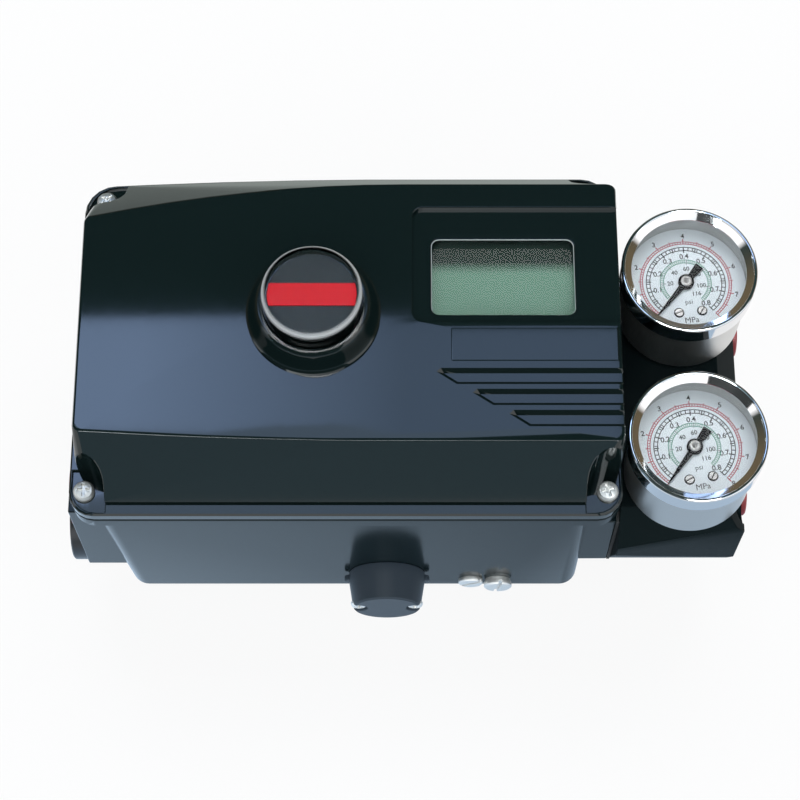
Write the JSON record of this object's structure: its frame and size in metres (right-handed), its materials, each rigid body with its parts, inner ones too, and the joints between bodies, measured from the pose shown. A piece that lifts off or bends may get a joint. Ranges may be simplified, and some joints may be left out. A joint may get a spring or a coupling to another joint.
{
  "type": "valve positioner",
  "caption": "Rotary electro-pneumatic valve positioner: black housing with domed travel indicator and display, and a side block with pressure gauges.",
  "frame": {"origin": "on the main shaft's axis, in the rear mounting plane", "axes": "+Z out of the front cover along the shaft, +X towards the gauges, +Y towards the top of the face"},
  "size_m": [0.2281, 0.1312, 0.144],
  "materials": {
    "cover_black": "gloss",
    "base_black": "semi-gloss",
    "block_black": "semi-gloss",
    "cap_black": "satin",
    "rubber_black": "matte",
    "nickel_steel": "bright",
    "black_steel": "oxide",
    "shaft_steel": "ground",
    "clear_dome": "clear",
    "clear_pane": "clear",
    "lcd_green": "satin",
    "board_green": "satin",
    "key_black": "satin",
    "key_grey": "satin",
    "motor_iron": "satin",
    "coil_copper": "satin",
    "valve_aluminium": "machined",
    "brass": "machined",
    "indicator_black": "satin",
    "indicator_red": "satin",
    "plug_red": "satin",
    "gauge_steel": "satin",
    "bezel_chrome": "polished",
    "dial_white": "satin",
    "hand_black": "satin"
  },
  "bodies": {
    "housing": {"base_housing": "base_black", "front_cover": "cover_black", "cover_gasket": "rubber_black", "cover_screws": "nickel_steel", "indicator_dome": "clear_dome", "dome_seal": "rubber_black", "lcd_window": "clear_pane", "lcd_panel": "lcd_green", "display_board": "board_green", "display_screws": "nickel_steel", "button_switches": "key_black", "main_board": "board_green", "board_screws": "nickel_steel", "terminal_block": "board_green", "terminal_screws": "nickel_steel", "torque_motor": "motor_iron", "motor_coil": "coil_copper", "nozzle_block": "valve_aluminium", "pilot_valve_body": "valve_aluminium", "shaft_bush": "brass", "shaft_seal": "rubber_black", "potentiometer": "key_black", "pot_bracket": "nickel_steel", "gauge_block": "block_black", "block_gasket": "rubber_black", "block_screws": "black_steel", "port_plugs": "plug_red", "vent_cap": "cap_black", "vent_screws": "nickel_steel", "ground_screws": "nickel_steel", "conduit_plug": "plug_red", "blanking_plug": "black_steel", "upper_gauge_case": "gauge_steel", "upper_gauge_bezel": "bezel_chrome", "upper_gauge_lens": "clear_pane", "upper_gauge_dial": "dial_white", "upper_gauge_movement": "brass", "lower_gauge_case": "gauge_steel", "lower_gauge_bezel": "bezel_chrome", "lower_gauge_lens": "clear_pane", "lower_gauge_dial": "dial_white", "lower_gauge_movement": "brass"},
    "shaft": {"main_shaft": "shaft_steel", "shaft_gear": "brass", "retaining_ring": "nickel_steel", "indicator_disc": "indicator_black", "indicator_bar": "indicator_red"},
    "pot_wheel": {"pot_spindle": "nickel_steel", "pot_gear": "brass"},
    "upper_hand": {"upper_gauge_pointer": "hand_black"},
    "lower_hand": {"lower_gauge_pointer": "hand_black"},
    "enter_key": {"enter_button": "key_grey"},
    "up_key": {"up_button": "key_grey"},
    "down_key": {"down_button": "key_grey"},
    "escape_key": {"escape_button": "key_grey"},
    "selector": {"auto_manual_screw": "nickel_steel"},
    "flapper_blade": {"flapper": "nickel_steel"},
    "spool": {"pilot_spool": "nickel_steel"}
  },
  "joints": [
    {"name": "shaft_turn", "type": "hinge", "parent": "housing", "child": "shaft", "pos_m": [0, 0, 0], "axis": [0, 0, 1], "range_deg": [0, 90]},
    {"name": "pot_turn", "type": "hinge", "parent": "housing", "child": "pot_wheel", "pos_m": [0, 0.03375, 0], "axis": [0, 0, 1], "range_deg": [-180, 0]},
    {"name": "upper_hand_turn", "type": "hinge", "parent": "housing", "child": "upper_hand", "pos_m": [0.1214, 0.0192, 0], "axis": [0, 0, 1], "range_deg": [-270, 0]},
    {"name": "lower_hand_turn", "type": "hinge", "parent": "housing", "child": "lower_hand", "pos_m": [0.1214, -0.0386, 0], "axis": [0, 0, 1], "range_deg": [-270, 0]},
    {"name": "enter_press", "type": "slide", "parent": "housing", "child": "enter_key", "axis": [0, 0, 1], "range_m": [-0.0005, 0], "stiffness_N_per_m": 800},
    {"name": "up_press", "type": "slide", "parent": "housing", "child": "up_key", "axis": [0, 0, 1], "range_m": [-0.0005, 0], "stiffness_N_per_m": 800},
    {"name": "down_press", "type": "slide", "parent": "housing", "child": "down_key", "axis": [0, 0, 1], "range_m": [-0.0005, 0], "stiffness_N_per_m": 800},
    {"name": "escape_press", "type": "slide", "parent": "housing", "child": "escape_key", "axis": [0, 0, 1], "range_m": [-0.0005, 0], "stiffness_N_per_m": 800},
    {"name": "selector_turn", "type": "hinge", "parent": "housing", "child": "selector", "pos_m": [0.1125, 0.0392, 0.0335], "axis": [0, 1, 0], "range_deg": [0, 180]},
    {"name": "flapper_swing", "type": "hinge", "parent": "housing", "child": "flapper_blade", "pos_m": [0.05, 0.007, 0], "axis": [0, 0, 1], "range_deg": [-1.5, 1.5], "stiffness_Nm_per_rad": 0.02},
    {"name": "spool_shift", "type": "slide", "parent": "housing", "child": "spool", "axis": [1, 0, 0], "range_m": [-0.0008, 0.0008], "stiffness_N_per_m": 300}
  ],
  "couplings": [
    {"joint": "pot_turn", "follows": "shaft_turn", "ratio": -2}
  ]
}
